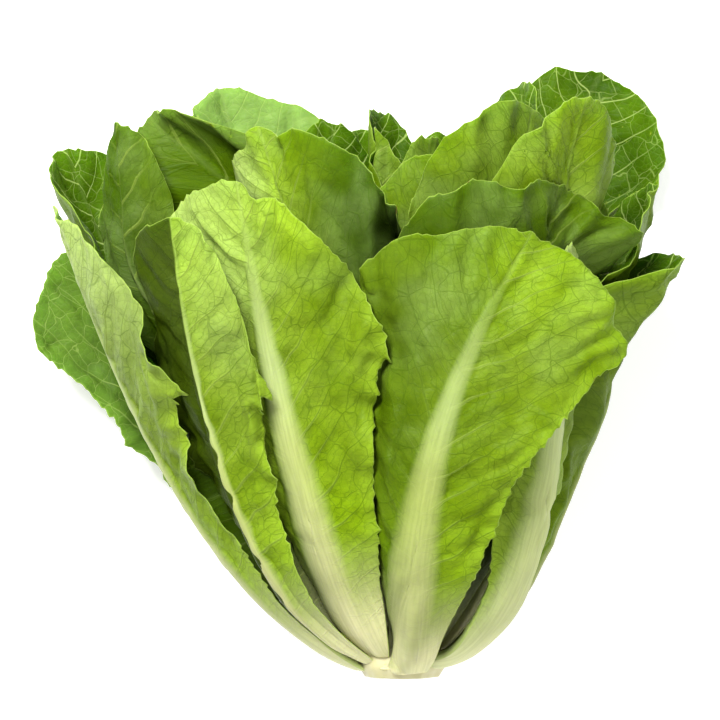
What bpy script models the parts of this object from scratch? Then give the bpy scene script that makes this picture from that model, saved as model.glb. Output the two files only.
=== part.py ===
"""A romaine lettuce head, lying on its back leaves.

The head lies along +Y, cut stem towards -Y, on the plane z = 0. Every leaf is laid out in the head's own
coordinates: height along its axis from the cut, turn round the axis (0 is up, 90 is +X) and reach from the
axis. The leaves are listed from the outermost inwards, and each is drawn in until it lies inside those
before it, as leaves do in a head.
"""

import math
from dataclasses import dataclass, replace

import bpy
import numpy as np

MM = 0.001

# Driving dimensions, in millimetres.
AXIS_ABOVE_TABLE = 60.0
STEM_CUT_RADIUS = 17.0
STEM_WIDEST_RADIUS = 18.5
STEM_WIDEST_HEIGHT = 6.0
STEM_TOP_RADIUS = 5.0
STEM_HEIGHT = 66.0
ROOT_GAP = 0.5
ROOT_ROOM = 2.5
BLADE_THICKNESS = 0.9
CLEARANCE = 0.9
TABLE_GAP = 0.35

# Colours as linear red, green and blue.
OUTER_GREEN = np.array([0.36, 0.52, 0.10])
HEART_GREEN = np.array([0.07, 0.22, 0.03])
STEM_CREAM = np.array([0.74, 0.68, 0.44])

# The grid that a leaf's surface is laid out on: rows from root to tip, columns from left to right margin.
ROWS = (0.0, 0.045, 0.1, 0.18, 0.29, 0.41, 0.53, 0.65, 0.77, 0.89, 1.0)
COLUMNS = (-1.0, -0.85, -0.67, -0.47, -0.28, -0.12, 0.0, 0.12, 0.28, 0.47, 0.67, 0.85, 1.0)
MIDRIB_COLUMN = 6
MIDRIB_STEPS = 80

# How a blade is cut: the rows bend into an arch towards the tip, and the last one is the blade's round top.
ARCH_DEGREES = 84.0
ROOT_BLEND = 0.14
ROOT_SLOPE_SHARE = 0.08
FOLD_ROUNDING = 7.0


@dataclass(frozen=True)
class Leaf:
    """One leaf. Angles are in degrees and lengths in millimetres."""

    name: str
    root_turn: float
    root_height: float
    tip_turn: float
    tip_height: float
    tip_reach: float
    left: float
    right: float
    sweep: float = 0.25
    bow: float = 1.6
    swell: float = 0.9
    lopsided: float = 0.0
    dome: float = 0.27
    tilt: float = 0.0
    fold_left: float = 14.0
    fold_right: float = 14.0
    hug: float = 0.5
    twist: float = 0.0
    flare: float = 0.0
    ruffle: float = 3.5
    waves: float = 8.0
    neck: float = 13.0
    rib: float = 4.2


LEAVES = (
    # The left side and the front, round to the right.
    Leaf(
        "leaf_left", -88, 4, -80, 211, 158, 22, 46, sweep=0.3, fold_left=80, fold_right=24, hug=0.3, neck=8,
        dome=0.42,
    ),
    Leaf(
        "leaf_left_behind", -118, 6, -113, 207, 134, 40, 66, fold_left=10, fold_right=-20, hug=0.0, neck=7,
        twist=30, swell=1.4, tilt=0.2,
    ),
    Leaf(
        "leaf_front_folded", -62, 6, -54, 206, 126, 40, 31, sweep=0.15, fold_left=46, fold_right=8, hug=0.1,
        twist=-34, neck=7, swell=0.7, dome=0.42,
    ),
    Leaf(
        "leaf_front_left", -43, 7, -46, 221, 102, 58, 53, sweep=0.35, fold_left=6, fold_right=6, twist=-24,
        hug=0.3, neck=8, tilt=-0.3, swell=0.75, lopsided=0.14, dome=0.36,
    ),
    Leaf(
        "leaf_front_right", 2, 4, 36, 198, 94, 58, 66, sweep=-0.2, bow=2.3, fold_left=4, fold_right=4,
        hug=0.25, twist=24, neck=11, swell=1.25, lopsided=0.2, dome=0.21, tilt=0.2,
    ),
    Leaf("leaf_low_right", 56, 6, 50, 194, 94, 44, 38, sweep=-0.3, fold_left=22, fold_right=26, neck=8),
    # The outer leaves that the head lies on.
    Leaf("leaf_back_right", 134, 4, 128, 202, 100, 50, 50, neck=9),
    Leaf("leaf_back_left", -148, 4, -144, 198, 92, 50, 44, neck=9),
    Leaf("leaf_back_middle", 178, 6, 176, 196, 68, 52, 52, neck=9),
    Leaf(
        "leaf_right", 98, 7, 90, 192, 127, 48, 34, flare=11, fold_left=16, fold_right=24, neck=8, dome=0.36,
    ),
    # The second ring.
    Leaf("leaf_second_side", 112, 11, 90, 222, 114, 38, 38, hug=0.3, neck=7),
    Leaf(
        "leaf_tall_right", 152, 11, 121, 279, 112, 58, 50, hug=0.4, fold_left=8, fold_right=8, neck=8,
        twist=-40,
    ),
    Leaf(
        "leaf_second_right", 26, 11, 56, 222, 88, 66, 72, hug=0.3, fold_left=4, fold_right=4, ruffle=6,
        twist=26, neck=8, tilt=0.12, dome=0.22,
    ),
    Leaf(
        "leaf_second_upright", -76, 11, -76, 250, 134, 16, 24, sweep=-0.4, fold_left=30, fold_right=30,
        hug=0.1, neck=8, dome=0.2, twist=-55, swell=0.7, rib=2.4,
    ),
    Leaf(
        "leaf_second_left", -104, 12, -97, 240, 154, 36, 44, sweep=0.35, fold_left=10, fold_right=40,
        hug=0.0, neck=8, twist=38,
    ),
    Leaf(
        "leaf_second_middle", -16, 11, -52, 246, 80, 40, 57, hug=0.3, fold_left=6, fold_right=4, ruffle=4.5,
        neck=7, tilt=-0.22,
    ),
    Leaf(
        "leaf_second_dark", -50, 12, -80, 252, 120, 36, 44, sweep=0.35, hug=0.2, neck=7, twist=-20,
    ),
    # The third ring.
    Leaf("leaf_third_right", 70, 12, 62, 260, 92, 46, 38, hug=0.3, neck=8, twist=24),
    Leaf("leaf_tall_left", -132, 14, -122, 271, 98, 56, 46, hug=0.4, neck=8, twist=36),
    Leaf("leaf_third_inner", 24, 16, 58, 257, 70, 46, 38, hug=0.4, neck=6, twist=20),
    Leaf("leaf_tall_back", -160, 20, -150, 252, 46, 42, 42, hug=0.7, neck=8),
    Leaf("leaf_third_middle", -6, 20, 24, 234, 44, 34, 34, hug=0.8, neck=6),
    Leaf("leaf_tip_right", 80, 22, 104, 272, 58, 28, 28, hug=0.5, neck=6, twist=-35),
    Leaf("leaf_tip_left", -94, 22, -110, 254, 36, 30, 30, hug=0.6, neck=6, twist=35),
    Leaf("leaf_tip_back", 140, 25, 140, 249, 38, 32, 34, hug=0.9, neck=6),
    # The heart.
    Leaf("leaf_heart_back", -150, 30, -130, 258, 14, 26, 30, hug=0.8, neck=5, rib=2.6),
    Leaf("leaf_heart_right", 50, 34, 40, 245, 20, 22, 24, hug=1.0, neck=4, rib=2.6),
    Leaf("leaf_heart_front", -40, 38, -60, 248, 18, 16, 28, hug=1.0, neck=4, rib=2.2, tilt=-0.4),
)


# ---- The head's coordinates ----------------------------------------------------------------------------


def to_space(height, turn, reach):
    """Points in millimetres, from the cut's centre, with turn in radians."""
    return np.stack([reach * np.sin(turn), height, reach * np.cos(turn)], axis=-1)


def to_head(points):
    """(height, turn, reach) of points in millimetres."""
    x, y, z = points[..., 0], points[..., 1], points[..., 2]
    return y, np.arctan2(x, z), np.hypot(x, z)


def stem_radius(height):
    """The stem swells just above the cut and then narrows to the head's growing tip."""
    swelling = (STEM_WIDEST_RADIUS - STEM_CUT_RADIUS) * np.clip(height / STEM_WIDEST_HEIGHT, 0, 1)
    below = STEM_CUT_RADIUS + swelling
    along = np.clip((height - STEM_WIDEST_HEIGHT) / (STEM_HEIGHT - STEM_WIDEST_HEIGHT), 0, 1)
    return below + (STEM_TOP_RADIUS - STEM_WIDEST_RADIUS) * along**1.2


def ease(x, start, end):
    """0 before start, 1 after end, and smooth in between."""
    t = np.clip((x - start) / (end - start), 0, 1)
    return t * t * (3 - 2 * t)


# ---- One leaf's surface --------------------------------------------------------------------------------


def unit(vectors):
    return vectors / np.linalg.norm(vectors, axis=-1, keepdims=True)


class Midrib:
    """A leaf's midrib, with the frame that its blade is built in: along, side (rising turn) and out."""

    def __init__(self, leaf):
        share = np.linspace(0, 1, 4 * MIDRIB_STEPS) ** 2
        root_reach = stem_radius(leaf.root_height) + ROOT_GAP
        start, end = ROOT_SLOPE_SHARE**leaf.sweep, (1 + ROOT_SLOPE_SHARE) ** leaf.sweep
        opened = ((share + ROOT_SLOPE_SHARE) ** leaf.sweep - start) / (end - start)
        opened *= ease(share, -0.02, 0.05)
        reach = root_reach + (leaf.tip_reach - root_reach) * opened
        reach += leaf.flare * (np.clip(share / 0.4 - 1.5, 0, 1) ** 2 - 1) * ease(share, 0, 0.5)
        turn = np.radians(leaf.root_turn + (leaf.tip_turn - leaf.root_turn) * share**leaf.bow)
        height = leaf.root_height + (leaf.tip_height - leaf.root_height) * share
        points = to_space(height, turn, reach)
        steps = np.linalg.norm(np.diff(points, axis=0), axis=1)
        length = np.concatenate([[0], np.cumsum(steps)])
        self.length = length[-1]
        self.at = np.linspace(0, self.length, MIDRIB_STEPS)
        self.points = np.stack([np.interp(self.at, length, points[:, k]) for k in range(3)], axis=1)
        along = unit(np.gradient(self.points, axis=0))
        _, turn, self.reach = to_head(self.points)
        round_axis = np.stack([np.cos(turn), 0 * turn, -np.sin(turn)], axis=1)
        side = unit(round_axis - (round_axis * along).sum(1, keepdims=True) * along)
        out = np.cross(side, along)
        twist = np.radians(leaf.twist) * ease(self.at / self.length, 0.1, 0.7)[:, None]
        self.side = side * np.cos(twist) + out * np.sin(twist)
        self.out = out * np.cos(twist) - side * np.sin(twist)

    def read(self, values, where):
        return np.stack([np.interp(where, self.at, values[:, k]) for k in range(3)], axis=-1)

    def point(self, where):
        """A point on the midrib, which runs on straight beyond its tip."""
        tip = unit(self.points[-1] - self.points[-2])
        return self.read(self.points, where) + np.maximum(where - self.length, 0)[..., None] * tip


def outline(leaf, length, u, v):
    """Where each grid point lies on the flat blade: (across, along) in millimetres."""
    width = np.where(u < 0, leaf.left, leaf.right)
    swell = leaf.swell * np.where(u < 0, 1 + leaf.lopsided, 1 - leaf.lopsided)
    width = leaf.neck + (width - leaf.neck) * v**swell
    arch = np.radians(ARCH_DEGREES) * np.maximum(v, 1e-3) ** 2
    across = width * np.sin(arch * u) / np.sin(arch)
    along = length * (v - leaf.dome * (1 - np.cos(arch * u))) + leaf.tilt * across * ease(v, 0.1, 0.6)
    return across, np.clip(along, 0, 1.12 * length)


def edge_share(u, v):
    """0 inside the blade and 1 on its margin."""
    inside = np.minimum(1 - np.abs(u), 2.2 * (1 - v))
    return ease(1 - inside, 0.45, 1.0) * ease(v, 0.12, 0.45)


def bend(leaf, midrib, across, along):
    """How far sideways and inwards each point of the flat blade goes once it is folded and cupped."""
    fold = np.radians(np.where(across < 0, leaf.fold_left, leaf.fold_right))
    share = along / midrib.length
    fold = fold * ease(share, 0.05, 0.4)
    reach = np.maximum(np.interp(along, midrib.at, midrib.reach), 20.0)
    hug = 1.0 + (leaf.hug - 1.0) * ease(share, 0.1, 0.6)
    far = np.abs(across)
    steps = (np.arange(16) + 0.5) / 16
    sideways, inwards = 0 * far, 0 * far
    for step in steps:
        angle = fold * (1 - np.exp(-far * step / FOLD_ROUNDING)) + hug * far * step / reach
        sideways += np.cos(angle) * far / len(steps)
        inwards += np.sin(angle) * far / len(steps)
    return np.sign(across) * sideways, inwards, angle


def leaf_surface(leaf, seed):
    """The middle surface of one leaf before it meets its neighbours: rows by columns of points."""
    midrib = Midrib(leaf)
    random = np.random.default_rng(seed)
    v, u = np.meshgrid(np.array(ROWS), np.array(COLUMNS), indexing="ij")
    across, along = outline(leaf, midrib.length, u, v)
    margin = edge_share(u, v)
    across = across * (1 + 0.05 * margin * random.uniform(-1, 1, v.shape))
    along = along + 2.0 * margin * random.uniform(-1, 1, v.shape)
    sideways, inwards, angle = bend(leaf, midrib, across, along)
    centre = midrib.point(along)
    side = midrib.read(midrib.side, along)
    out = midrib.read(midrib.out, along)
    blade = centre + sideways[..., None] * side - inwards[..., None] * out
    face = np.cos(angle)[..., None] * out + (np.sign(across) * np.sin(angle))[..., None] * side
    round_blade = np.arctan2(across, along - 0.5 * midrib.length)
    wave = np.sin(leaf.waves * round_blade + random.uniform(0, 2 * math.pi))
    wave += 0.7 * np.sin((leaf.waves + 5) * round_blade + random.uniform(0, 2 * math.pi))
    blade += (leaf.ruffle * margin * wave)[..., None] * face
    root_reach = stem_radius(leaf.root_height) + ROOT_GAP
    round_stem = np.radians(leaf.root_turn) + leaf.neck * u / root_reach
    hugging = to_space(leaf.root_height + 0 * u, round_stem, root_reach + 0 * u)
    joined = ease(v, 0, ROOT_BLEND)[..., None]
    return hugging * (1 - joined) + blade * joined


def face_normals(grid):
    """Unit normals at the grid's points, facing away from the head's axis."""
    along = np.gradient(grid, axis=0)
    across = np.gradient(grid, axis=1)
    return unit(np.cross(across, along))


def rib_profile(leaf, grid):
    """How far the midrib stands out of the blade's outer face at each grid point."""
    v = np.array(ROWS)[:, None]
    middle = grid[:, MIDRIB_COLUMN : MIDRIB_COLUMN + 1]
    away = np.linalg.norm(grid - middle, axis=-1)
    half_width = 12.5 * (1 - v) ** 1.3 + 2.2
    height = leaf.rib * (1 - v) ** 1.1 * (0.35 + 0.65 * ease(v, 0, 0.1))
    return height * np.clip(1 - (away / half_width) ** 2, 0, 1)


def leaf_faces(leaf, grid):
    """The leaf's outer and inner faces, as grids of points."""
    normals = face_normals(grid)
    outer = grid + normals * (BLADE_THICKNESS / 2 + rib_profile(leaf, grid))[..., None]
    inner = grid - normals * (BLADE_THICKNESS / 2)
    return outer, inner


# ---- Fitting the leaves inside each other --------------------------------------------------------------


class Limit:
    """How far out a leaf may reach: a map over height and turn, lowered by each leaf laid."""

    HEIGHT_STEP = 0.75
    TURN_STEPS = 240
    LOWEST, HIGHEST = -10.0, 300.0
    RISE_PER_HEIGHT = 3.0
    RISE_PER_ARC = 2.5
    SPREADS = 30
    NO_LIMIT = 400.0

    def __init__(self):
        rows = int((self.HIGHEST - self.LOWEST) / self.HEIGHT_STEP)
        self.reach = np.full((rows, self.TURN_STEPS), self.NO_LIMIT)
        self.spread = self.reach.copy()
        self.slope = 0 * self.reach

    def cell(self, height, turn):
        row = np.clip(((height - self.LOWEST) / self.HEIGHT_STEP).astype(int), 0, len(self.reach) - 1)
        return row, np.floor(turn / (2 * math.pi) * self.TURN_STEPS).astype(int) % self.TURN_STEPS

    def lay(self, points):
        """Lowers the map to a laid leaf's inner face, and lets it rise steadily beyond the margins."""
        height, turn, reach = to_head(points)
        np.minimum.at(self.reach, self.cell(height, turn), reach)
        beyond = self.reach.copy()
        rise = self.RISE_PER_HEIGHT * self.HEIGHT_STEP
        widen = 1 + self.RISE_PER_ARC * 2 * math.pi / self.TURN_STEPS
        for _ in range(self.SPREADS):
            beyond[1:] = np.minimum(beyond[1:], beyond[:-1] + rise)
            beyond[:-1] = np.minimum(beyond[:-1], beyond[1:] + rise)
            beyond = np.minimum(beyond, widen * np.minimum(np.roll(beyond, 1, 1), np.roll(beyond, -1, 1)))
        self.spread = np.where(self.reach < self.NO_LIMIT, self.reach, beyond)
        near = np.minimum(np.roll(self.spread, 3, 0), np.roll(self.spread, -3, 0))
        level = np.minimum(self.spread, 2 * near)
        rise = (np.roll(level, -3, 0) - np.roll(level, 3, 0)) / (6 * self.HEIGHT_STEP)
        height = self.LOWEST + self.HEIGHT_STEP * np.arange(len(rise))[:, None]
        self.slope = np.clip(rise, 0, 3) * (1 - ease(height, 50, 110))

    def excess(self, points):
        """How far each point lies past the leaves already laid, or the table, and their slope there."""
        height, turn, reach = to_head(points)
        cell = self.cell(height, turn)
        slope = self.slope[cell]
        past_leaves = reach - self.spread[cell] + CLEARANCE * np.hypot(1, slope)
        down = np.maximum(-np.cos(turn), 1e-6)
        past_table = reach - AXIS_ABOVE_TABLE / down
        return np.maximum(past_leaves, past_table), np.where(past_table > past_leaves, 0, slope)

    def lowest_root(self, leaf):
        """The lowest height, from the one asked for, where the leaf can leave the stem inside the rest."""
        heights = np.arange(leaf.root_height, STEM_HEIGHT - 8, 0.5)[:, None]
        ahead = np.linspace(0, 4, 5)
        half_turn = 0.6 * leaf.neck / stem_radius(heights)
        turn = np.radians(leaf.root_turn) + half_turn * np.linspace(-1, 1, 9)
        above = [self.spread[self.cell(heights + up + 0 * turn, turn)] for up in ahead]
        free = np.min(above, axis=(0, 2))
        fits = free > stem_radius(heights[:, 0]) + ROOT_GAP + ROOT_ROOM
        return float(heights[np.argmax(fits), 0]) if fits.any() else leaf.root_height


def cell_weights(per_side):
    """Weights of a cell's corners, for points spread over the two triangles that the cell is cut into."""
    share = np.linspace(0, 1, per_side)
    r, c = np.meshgrid(share, share, indexing="ij")
    first, low, high = np.minimum(1 - r, 1 - c), np.maximum(c - r, 0), np.maximum(r - c, 0)
    return [first, low, np.minimum(r, c), high]


def corners(grid):
    """Each cell's four corners, in the order of cell_weights."""
    return [grid[:-1, :-1], grid[:-1, 1:], grid[1:, 1:], grid[1:, :-1]]


def sampled(grid, per_side):
    """Points spread over every cell: an array of cells by samples by coordinates."""
    weighted = zip(corners(grid), cell_weights(per_side))
    return sum(corner[:, :, None, None, :] * weight[..., None] for corner, weight in weighted)


def moved_in(grid, inwards, upwards):
    height, turn, reach = to_head(grid)
    return to_space(height + upwards, turn, np.maximum(reach - inwards, 1.0))


def drawn_in(leaf, grid, limit):
    """The leaf moved towards the axis wherever it would reach into the leaves round it or the table."""
    for _ in range(4):
        excess, slope = limit.excess(leaf_faces(leaf, grid)[0])
        pull = np.maximum(excess, 0) / (1 + slope**2)
        grid = moved_in(grid, pull, pull * slope)
    weights = cell_weights(12)
    spread = sum(weight**2 for weight in weights)
    for _ in range(14):
        excess, slope = limit.excess(sampled(leaf_faces(leaf, grid)[0], 12))
        if excess.max() < 0.02:
            break
        pull = np.maximum(excess, 0) / (1 + slope**2)
        inwards, upwards = np.zeros(grid.shape[:2]), np.zeros(grid.shape[:2])
        for moved, amount in ((inwards, pull), (upwards, pull * slope)):
            for corner, weight in zip(corners(moved), weights):
                np.maximum(corner, (amount * weight / spread).max(axis=(2, 3)), out=corner)
        grid = moved_in(grid, inwards, upwards)
    return grid


def laid_out():
    """(leaf, grid) for every leaf, fitted inside each other."""
    limit = Limit()
    done = []
    for number, leaf in enumerate(LEAVES):
        leaf = replace(leaf, root_height=limit.lowest_root(leaf))
        grid = drawn_in(leaf, leaf_surface(leaf, number), limit)
        done.append((leaf, grid))
        limit.lay(np.stack([sampled(face, 36) for face in leaf_faces(leaf, grid)]))
    return done, limit


# ---- Solids --------------------------------------------------------------------------------------------


def skinned(outer, inner):
    """Points and triangles of the closed sheet between two grids, both cut along the same diagonals."""
    rows, columns = outer.shape[:2]
    count = rows * columns
    triangles = []

    def quad(a, b, c, d):
        triangles.extend([(a, b, c), (a, c, d)])

    for i in range(rows - 1):
        for j in range(columns - 1):
            a, b = i * columns + j, i * columns + j + 1
            c, d = b + columns, a + columns
            quad(a, b, c, d)
            triangles.extend([(count + a, count + c, count + b), (count + a, count + d, count + c)])
    rim = [j for j in range(columns)]
    rim += [i * columns + columns - 1 for i in range(1, rows)]
    rim += [(rows - 1) * columns + j for j in range(columns - 2, -1, -1)]
    rim += [i * columns for i in range(rows - 2, 0, -1)]
    for a, b in zip(rim, rim[1:] + rim[:1]):
        quad(b, a, count + a, count + b)
    return np.concatenate([outer.reshape(-1, 3), inner.reshape(-1, 3)]), triangles


def material(name, colour, roughness):
    made = bpy.data.materials.new(name)
    made.use_nodes = True
    shader = made.node_tree.nodes["Principled BSDF"]
    shader.inputs["Base Color"].default_value = (*colour, 1)
    shader.inputs["Roughness"].default_value = roughness
    return made


def add_object(name, points, faces, finish):
    mesh = bpy.data.meshes.new(name)
    mesh.from_pydata([tuple(p) for p in points], [], faces)
    mesh.materials.append(finish)
    mesh.update()
    made = bpy.data.objects.new(name, mesh)
    bpy.context.scene.collection.objects.link(made)
    return made


def on_table(points, middle):
    """Points from the cut's centre moved over the origin, in metres. What nearly touches the table does."""
    moved = points - middle
    moved[:, 2] = np.where(moved[:, 2] < TABLE_GAP, 0.0, moved[:, 2])
    return moved * MM


def stem_solid(limit):
    """The cut stem, from the cut face to the tip hidden in the heart, narrowing as the leaves leave it."""
    sides, rings = 24, 12
    heights = STEM_HEIGHT * np.linspace(0, 1, rings)
    turn = np.linspace(0, 2 * math.pi, sides, endpoint=False)
    points = []
    for height in heights:
        near = height + np.linspace(-6, 6, 17)[:, None, None]
        around = turn[None, :, None] + np.linspace(-0.27, 0.27, 25)
        free = limit.reach[limit.cell(near + 0 * around, around + 0 * near)].min(axis=(0, 2))
        points.append(to_space(height + 0 * turn, turn, np.minimum(stem_radius(height), free - 0.4)))
    points = np.concatenate(points + [np.array([[0, 0, 0], [0, STEM_HEIGHT + 2, 0]])])
    faces = []
    cut, top = rings * sides, rings * sides + 1
    for j in range(sides):
        k = (j + 1) % sides
        faces.append((cut, k, j))
        faces.append((top, (rings - 1) * sides + j, (rings - 1) * sides + k))
        for i in range(rings - 1):
            faces.append((i * sides + j, i * sides + k, (i + 1) * sides + k, (i + 1) * sides + j))
    return points, faces


def main():
    for old in list(bpy.data.objects):
        bpy.data.objects.remove(old)
    leaves, limit = laid_out()
    solids = [(leaf.name, *skinned(*leaf_faces(leaf, grid))) for leaf, grid in leaves]
    every = np.concatenate([points for _, points, _ in solids])
    low, high = every.min(axis=0), every.max(axis=0)
    middle = np.array([(low[0] + high[0]) / 2, high[1] / 2, -AXIS_ABOVE_TABLE])
    for number, (name, points, faces) in enumerate(solids):
        green = OUTER_GREEN + (HEART_GREEN - OUTER_GREEN) * number / (len(solids) - 1)
        add_object(name, on_table(points, middle), faces, material(name, green, 0.5))
    points, faces = stem_solid(limit)
    add_object("stem", on_table(points, middle), faces, material("stem", STEM_CREAM, 0.6))


main()
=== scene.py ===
"""The looks of the romaine lettuce head, lying on its back leaves.

Every leaf is laid out as its solid is, from the same table, and then drawn finely between the solid's own
points: puckered between its veins, toothed and ruffled at its margin, thin at the edge and thick in the
midrib. Lengths are in millimetres until a mesh is made.
"""

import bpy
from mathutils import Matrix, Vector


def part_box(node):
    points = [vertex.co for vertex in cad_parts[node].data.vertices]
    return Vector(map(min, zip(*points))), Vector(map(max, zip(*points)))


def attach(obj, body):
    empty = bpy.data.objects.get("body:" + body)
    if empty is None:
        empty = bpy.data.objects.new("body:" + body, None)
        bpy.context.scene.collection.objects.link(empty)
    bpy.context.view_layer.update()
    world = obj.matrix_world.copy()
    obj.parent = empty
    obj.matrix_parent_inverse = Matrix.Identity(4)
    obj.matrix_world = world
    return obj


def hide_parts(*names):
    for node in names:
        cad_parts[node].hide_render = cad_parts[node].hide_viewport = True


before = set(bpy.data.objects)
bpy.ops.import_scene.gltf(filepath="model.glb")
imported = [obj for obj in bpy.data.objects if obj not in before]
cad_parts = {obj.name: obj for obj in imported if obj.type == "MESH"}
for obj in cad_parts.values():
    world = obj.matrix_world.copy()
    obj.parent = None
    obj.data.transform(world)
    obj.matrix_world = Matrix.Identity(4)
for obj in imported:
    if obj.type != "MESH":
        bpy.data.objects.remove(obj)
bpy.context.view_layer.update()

import math
from dataclasses import dataclass, replace

import bpy
import numpy as np
from mathutils import Vector

MM = 0.001

# Driving dimensions, in millimetres.
AXIS_ABOVE_TABLE = 60.0
STEM_CUT_RADIUS = 17.0
STEM_WIDEST_RADIUS = 18.5
STEM_WIDEST_HEIGHT = 6.0
STEM_TOP_RADIUS = 5.0
STEM_HEIGHT = 66.0
ROOT_GAP = 0.5
ROOT_ROOM = 2.5
BLADE_THICKNESS = 0.9
CLEARANCE = 0.9

# The grid that a leaf's surface is laid out on: rows from root to tip, columns from left to right margin.
ROWS = (0.0, 0.045, 0.1, 0.18, 0.29, 0.41, 0.53, 0.65, 0.77, 0.89, 1.0)
COLUMNS = (-1.0, -0.85, -0.67, -0.47, -0.28, -0.12, 0.0, 0.12, 0.28, 0.47, 0.67, 0.85, 1.0)
MIDRIB_COLUMN = 6
MIDRIB_STEPS = 80

# How a blade is cut: the rows bend into an arch towards the tip, and the last one is the blade's round top.
ARCH_DEGREES = 84.0
ROOT_BLEND = 0.14
ROOT_SLOPE_SHARE = 0.08
FOLD_ROUNDING = 7.0


@dataclass(frozen=True)
class Leaf:
    """One leaf. Angles are in degrees and lengths in millimetres."""

    name: str
    root_turn: float
    root_height: float
    tip_turn: float
    tip_height: float
    tip_reach: float
    left: float
    right: float
    sweep: float = 0.25
    bow: float = 1.6
    swell: float = 0.9
    lopsided: float = 0.0
    dome: float = 0.27
    tilt: float = 0.0
    fold_left: float = 14.0
    fold_right: float = 14.0
    hug: float = 0.5
    twist: float = 0.0
    flare: float = 0.0
    ruffle: float = 3.5
    waves: float = 8.0
    neck: float = 13.0
    rib: float = 4.2


LEAVES = (
    # The left side and the front, round to the right.
    Leaf(
        "leaf_left", -88, 4, -80, 211, 158, 22, 46, sweep=0.3, fold_left=80, fold_right=24, hug=0.3, neck=8,
        dome=0.42,
    ),
    Leaf(
        "leaf_left_behind", -118, 6, -113, 207, 134, 40, 66, fold_left=10, fold_right=-20, hug=0.0, neck=7,
        twist=30, swell=1.4, tilt=0.2,
    ),
    Leaf(
        "leaf_front_folded", -62, 6, -54, 206, 126, 40, 31, sweep=0.15, fold_left=46, fold_right=8, hug=0.1,
        twist=-34, neck=7, swell=0.7, dome=0.42,
    ),
    Leaf(
        "leaf_front_left", -43, 7, -46, 221, 102, 58, 53, sweep=0.35, fold_left=6, fold_right=6, twist=-24,
        hug=0.3, neck=8, tilt=-0.3, swell=0.75, lopsided=0.14, dome=0.36,
    ),
    Leaf(
        "leaf_front_right", 2, 4, 36, 198, 94, 58, 66, sweep=-0.2, bow=2.3, fold_left=4, fold_right=4,
        hug=0.25, twist=24, neck=11, swell=1.25, lopsided=0.2, dome=0.21, tilt=0.2,
    ),
    Leaf("leaf_low_right", 56, 6, 50, 194, 94, 44, 38, sweep=-0.3, fold_left=22, fold_right=26, neck=8),
    # The outer leaves that the head lies on.
    Leaf("leaf_back_right", 134, 4, 128, 202, 100, 50, 50, neck=9),
    Leaf("leaf_back_left", -148, 4, -144, 198, 92, 50, 44, neck=9),
    Leaf("leaf_back_middle", 178, 6, 176, 196, 68, 52, 52, neck=9),
    Leaf(
        "leaf_right", 98, 7, 90, 192, 127, 48, 34, flare=11, fold_left=16, fold_right=24, neck=8, dome=0.36,
    ),
    # The second ring.
    Leaf("leaf_second_side", 112, 11, 90, 222, 114, 38, 38, hug=0.3, neck=7),
    Leaf(
        "leaf_tall_right", 152, 11, 121, 279, 112, 58, 50, hug=0.4, fold_left=8, fold_right=8, neck=8,
        twist=-40,
    ),
    Leaf(
        "leaf_second_right", 26, 11, 56, 222, 88, 66, 72, hug=0.3, fold_left=4, fold_right=4, ruffle=6,
        twist=26, neck=8, tilt=0.12, dome=0.22,
    ),
    Leaf(
        "leaf_second_upright", -76, 11, -76, 250, 134, 16, 24, sweep=-0.4, fold_left=30, fold_right=30,
        hug=0.1, neck=8, dome=0.2, twist=-55, swell=0.7, rib=2.4,
    ),
    Leaf(
        "leaf_second_left", -104, 12, -97, 240, 154, 36, 44, sweep=0.35, fold_left=10, fold_right=40,
        hug=0.0, neck=8, twist=38,
    ),
    Leaf(
        "leaf_second_middle", -16, 11, -52, 246, 80, 40, 57, hug=0.3, fold_left=6, fold_right=4, ruffle=4.5,
        neck=7, tilt=-0.22,
    ),
    Leaf(
        "leaf_second_dark", -50, 12, -80, 252, 120, 36, 44, sweep=0.35, hug=0.2, neck=7, twist=-20,
    ),
    # The third ring.
    Leaf("leaf_third_right", 70, 12, 62, 260, 92, 46, 38, hug=0.3, neck=8, twist=24),
    Leaf("leaf_tall_left", -132, 14, -122, 271, 98, 56, 46, hug=0.4, neck=8, twist=36),
    Leaf("leaf_third_inner", 24, 16, 58, 257, 70, 46, 38, hug=0.4, neck=6, twist=20),
    Leaf("leaf_tall_back", -160, 20, -150, 252, 46, 42, 42, hug=0.7, neck=8),
    Leaf("leaf_third_middle", -6, 20, 24, 234, 44, 34, 34, hug=0.8, neck=6),
    Leaf("leaf_tip_right", 80, 22, 104, 272, 58, 28, 28, hug=0.5, neck=6, twist=-35),
    Leaf("leaf_tip_left", -94, 22, -110, 254, 36, 30, 30, hug=0.6, neck=6, twist=35),
    Leaf("leaf_tip_back", 140, 25, 140, 249, 38, 32, 34, hug=0.9, neck=6),
    # The heart.
    Leaf("leaf_heart_back", -150, 30, -130, 258, 14, 26, 30, hug=0.8, neck=5, rib=2.6),
    Leaf("leaf_heart_right", 50, 34, 40, 245, 20, 22, 24, hug=1.0, neck=4, rib=2.6),
    Leaf("leaf_heart_front", -40, 38, -60, 248, 18, 16, 28, hug=1.0, neck=4, rib=2.2, tilt=-0.4),
)


# ---- The head's coordinates ----


def to_space(height, turn, reach):
    """Points in millimetres, from the cut's centre, with turn in radians."""
    return np.stack([reach * np.sin(turn), height, reach * np.cos(turn)], axis=-1)


def to_head(points):
    """(height, turn, reach) of points in millimetres."""
    x, y, z = points[..., 0], points[..., 1], points[..., 2]
    return y, np.arctan2(x, z), np.hypot(x, z)


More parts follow.
